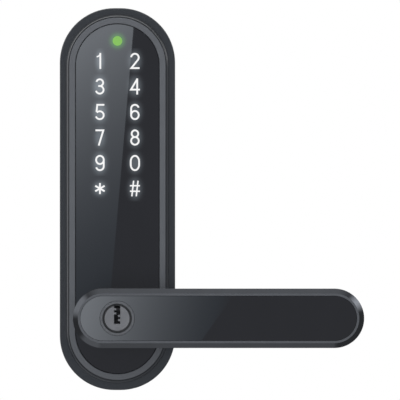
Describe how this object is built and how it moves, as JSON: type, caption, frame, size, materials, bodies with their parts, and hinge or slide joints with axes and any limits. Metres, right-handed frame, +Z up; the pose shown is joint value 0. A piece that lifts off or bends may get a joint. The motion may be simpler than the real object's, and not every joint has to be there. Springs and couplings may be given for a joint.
{
  "type": "keypad smart lock",
  "caption": "Outdoor unit of a keypad smart lock: a pill-shaped escutcheon with a touch keypad, a long lever handle on a keyed hub, a motor clutch and a square spindle.",
  "frame": {"origin": "on the lever's axis, in the door face that the gasket lies against", "axes": "+Z up, the front faces -Y, the lever points along +X, and the spindle runs into the door along +Y"},
  "size_m": [0.1667, 0.1039, 0.2096],
  "materials": {
    "graphite_paint": "satin graphite powder coat",
    "satin_frame": "satin grey anodise",
    "black_glass": "black-backed glass",
    "legend_white": "translucent print",
    "status_green": "translucent lens",
    "lever_paint": "satin grey powder coat",
    "lever_gloss": "gloss black",
    "cylinder_steel": "dark plated",
    "plug_steel": "dark plated",
    "steel": "zinc plated",
    "black_steel": "blackened",
    "zinc_plate": "pressed and plated",
    "brass": "turned",
    "rubber": "soft",
    "clear_plastic": "clear",
    "board_green": "solder mask",
    "black_plastic": "moulded",
    "white_plastic": "moulded"
  },
  "bodies": {
    "escutcheon": {"door_gasket": "rubber", "back_plate": "zinc_plate", "back_plate_screws": "steel", "mounting_posts": "steel", "cable_grommet": "rubber", "housing": "graphite_paint", "trim_frame": "satin_frame", "glass_seal": "rubber", "touch_glass": "black_glass", "keypad_legends": "legend_white", "status_lens": "status_green", "light_guide": "clear_plastic", "keypad_board": "board_green", "keypad_lights": "clear_plastic", "controller_chips": "black_plastic", "buzzer": "black_plastic", "harness_socket": "white_plastic", "harness_pins": "brass", "board_screws": "steel", "lever_bush": "brass", "lever_rose": "satin_frame", "return_spring": "steel", "clutch_gearbox": "brass", "clutch_motor": "steel", "clutch_cradle": "black_plastic", "cradle_screws": "steel"},
    "lever": {"lever_hub": "steel", "lever_neck": "lever_paint", "lever_set_screws": "steel", "lever_body": "lever_paint", "lever_face": "lever_gloss", "cylinder_shell": "cylinder_steel", "clutch_pin_spring": "steel"},
    "key_plug": {"key_plug": "plug_steel", "key_wafers": "black_steel", "plug_clip": "steel", "tailpiece": "steel"},
    "spindle": {"spindle_rotor": "steel", "spindle": "steel", "spindle_pin": "steel"},
    "clutch_pin": {"clutch_pin": "steel"},
    "clutch_fork": {"clutch_fork": "black_plastic"},
    "clutch_screw": {"clutch_screw": "steel"}
  },
  "joints": [
    {"name": "lever_turn", "type": "hinge", "parent": "escutcheon", "child": "lever", "pos_m": [0, 0, 0], "axis": [0, 1, 0], "range_deg": [0, 45], "stiffness_Nm_per_rad": 0.8, "springref_deg": -34.38, "deforming": ["return_spring"]},
    {"name": "key_plug_turn", "type": "hinge", "parent": "lever", "child": "key_plug", "pos_m": [0, 0, 0], "axis": [0, 1, 0], "range_deg": [0, 90]},
    {"name": "spindle_turn", "type": "hinge", "parent": "escutcheon", "child": "spindle", "pos_m": [0, 0, 0], "axis": [0, 1, 0], "range_deg": [0, 45]},
    {"name": "clutch_screw_turn", "type": "hinge", "parent": "escutcheon", "child": "clutch_screw", "pos_m": [0, -0.0112, 0.03], "axis": [0, 0, 1], "range_deg": [0, 1440]},
    {"name": "clutch_fork_slide", "type": "slide", "parent": "escutcheon", "child": "clutch_fork", "axis": [0, 0, 1], "range_m": [0, 0.0032]},
    {"name": "clutch_pin_slide", "type": "slide", "parent": "lever", "child": "clutch_pin", "axis": [0, 0, 1], "range_m": [0, 0.0019], "deforming": ["clutch_pin_spring"]}
  ],
  "couplings": [
    {"joint": "spindle_turn", "follows": "lever_turn", "ratio": 1},
    {"joint": "clutch_screw_turn", "follows": "clutch_fork_slide", "rad_per_m": 7853.9},
    {"joint": "clutch_pin_slide", "follows": "clutch_fork_slide", "ratio": 0.5937}
  ]
}
